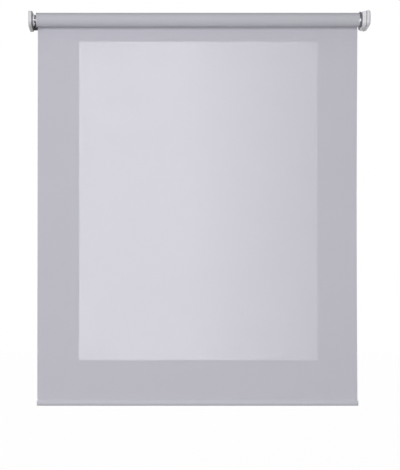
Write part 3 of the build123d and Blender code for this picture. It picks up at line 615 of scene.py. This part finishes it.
# Floor: a plain pale one that looks white in the picture
FLOOR_Z = -2.2
FLOOR_REACH = 14
FLOOR_COLOUR = (0.36, 0.36, 0.364, 1)
FLOOR_GLOW = 0.855
corners = ((-1, -1), (1, -1), (1, 1), (-1, 1))
floor = mesh_piece(
    "floor",
    [(FLOOR_REACH * x, FLOOR_REACH * y, FLOOR_Z) for x, y in corners],
    [(0, 1, 2, 3)],
)
ground = Maker("floor_pale")
ground.set(Base_Color=FLOOR_COLOUR, Roughness=0.9, Specular_IOR_Level=0.1)
glow = ground.add("ShaderNodeEmission")
ground.link(ground.math("MULTIPLY", plain_rays(ground.tree), FLOOR_GLOW), glow.inputs["Strength"])
both = ground.add("ShaderNodeAddShader")
ground.link(ground.shader.outputs[0], both.inputs[0])
ground.link(glow.outputs[0], both.inputs[1])
ground.link(both.outputs[0], ground.output.inputs["Surface"])
floor.data.materials.append(ground.material)

# World: white where it is seen, and a weak even light elsewhere
AMBIENT = 0.3
world = bpy.data.worlds.new("studio")
bpy.context.scene.world = world
world.use_nodes = True
sky = world.node_tree
background = next(n for n in sky.nodes if n.type == "BACKGROUND")
background.inputs["Color"].default_value = (1, 1, 1, 1)
whiter = math_node(sky, "MULTIPLY", plain_rays(sky), 1 - AMBIENT)
sky.links.new(math_node(sky, "ADD", AMBIENT, whiter), background.inputs["Strength"])


def lamp(name, place, target, size, power, spread=180.0, height=None):
    """An area lamp at place that looks at target. size is in metres and power in watts."""
    light = bpy.data.lights.new(name, "AREA")
    light.shape = "RECTANGLE" if height else "SQUARE"
    light.size = size
    if height:
        light.size_y = height
    light.energy = power
    light.spread = math.radians(spread)
    made = bpy.data.objects.new(name, light)
    made.location = place
    made.rotation_euler = (Vector(target) - Vector(place)).to_track_quat("-Z", "Y").to_euler()
    bpy.context.scene.collection.objects.link(made)
    return made


lamp("key", (-1.3, -3.4, 0.22), (0, 0, -0.4), size=3.0, power=72.5, height=1.0)
lamp("top", (-0.3, -1.3, 2.3), (0, 0, -0.3), size=1.6, power=5)
lamp("back", (0.8, 3.6, 0.3), (0, 0, -0.5), size=2.4, power=18)
lamp("fill", (0.3, -2.3, -1.2), (0.2, 0, 0.1), size=1.2, power=12.5, height=0.7)

# Daylight through a window pane behind the cloth, brighter on its left half than at its right
PANE_LEFT = -0.3378
PANE_RIGHT = 0.3359
PANE_BOTTOM = -0.9584
PANE_TOP = -0.0583
PANE_Y = -0.003
PANE_POWER = 0.8
PANE_SPREAD = 20
PANE_COLOUR = (1.0, 1.0, 0.945)
PANE_FALL = (-0.03, 0.33)  # where along X its light begins and ends to fall off
PANE_LEVELS = (1.53, 0.6)  # its levels before and after that
pane_x = (PANE_LEFT + PANE_RIGHT) / 2
pane_z = (PANE_BOTTOM + PANE_TOP) / 2
pane = lamp(
    "window_pane",
    (pane_x, PANE_Y, pane_z),
    (pane_x, PANE_Y - 1, pane_z),
    size=PANE_RIGHT - PANE_LEFT,
    power=PANE_POWER,
    spread=PANE_SPREAD,
    height=PANE_TOP - PANE_BOTTOM,
)
pane.visible_camera = False
pane.data.color = PANE_COLOUR
pane.data.use_nodes = True
pane_tree = pane.data.node_tree
pane_glow = next(n for n in pane_tree.nodes if n.type == "EMISSION")
pane_place = pane_tree.nodes.new("ShaderNodeNewGeometry")
pane_split = pane_tree.nodes.new("ShaderNodeSeparateXYZ")
pane_level = pane_tree.nodes.new("ShaderNodeMapRange")
for name, value in zip(("From Min", "From Max", "To Min", "To Max"), PANE_FALL + PANE_LEVELS):
    pane_level.inputs[name].default_value = value
pane_tree.links.new(pane_place.outputs["Position"], pane_split.inputs[0])
pane_tree.links.new(pane_split.outputs["X"], pane_level.inputs["Value"])
pane_tree.links.new(pane_level.outputs["Result"], pane_glow.inputs["Strength"])

# Camera, in metres and in pixels of the photograph
FOCAL_PIXELS = 1316
SHORT_SIDE = 400
LONG_SIDE = 470
SENSOR = 36.0
CAMERA_X = -0.15
CAMERA_Z = -0.604
CAMERA_DISTANCE = 3.7
CENTRE_PIXEL = 198.9
RAISED_PIXELS = -0.25
PIXELS_PER_METRE = FOCAL_PIXELS / CAMERA_DISTANCE
camera_data = bpy.data.cameras.new("camera")
camera_data.sensor_width = SENSOR
camera_data.lens = FOCAL_PIXELS * SENSOR / LONG_SIDE
camera_data.shift_x = (SHORT_SIDE / 2 - CENTRE_PIXEL - CAMERA_X * PIXELS_PER_METRE) / LONG_SIDE
camera_data.shift_y = RAISED_PIXELS / LONG_SIDE
camera_data.clip_start = 0.05
camera_data.clip_end = 60
camera = bpy.data.objects.new("camera", camera_data)
camera.location = (CAMERA_X, AXIS_Y - CAMERA_DISTANCE, CAMERA_Z)
camera.rotation_euler = (math.pi / 2, 0, 0)
bpy.context.scene.collection.objects.link(camera)
bpy.context.scene.camera = camera
bpy.context.scene.view_settings.view_transform = "Standard"
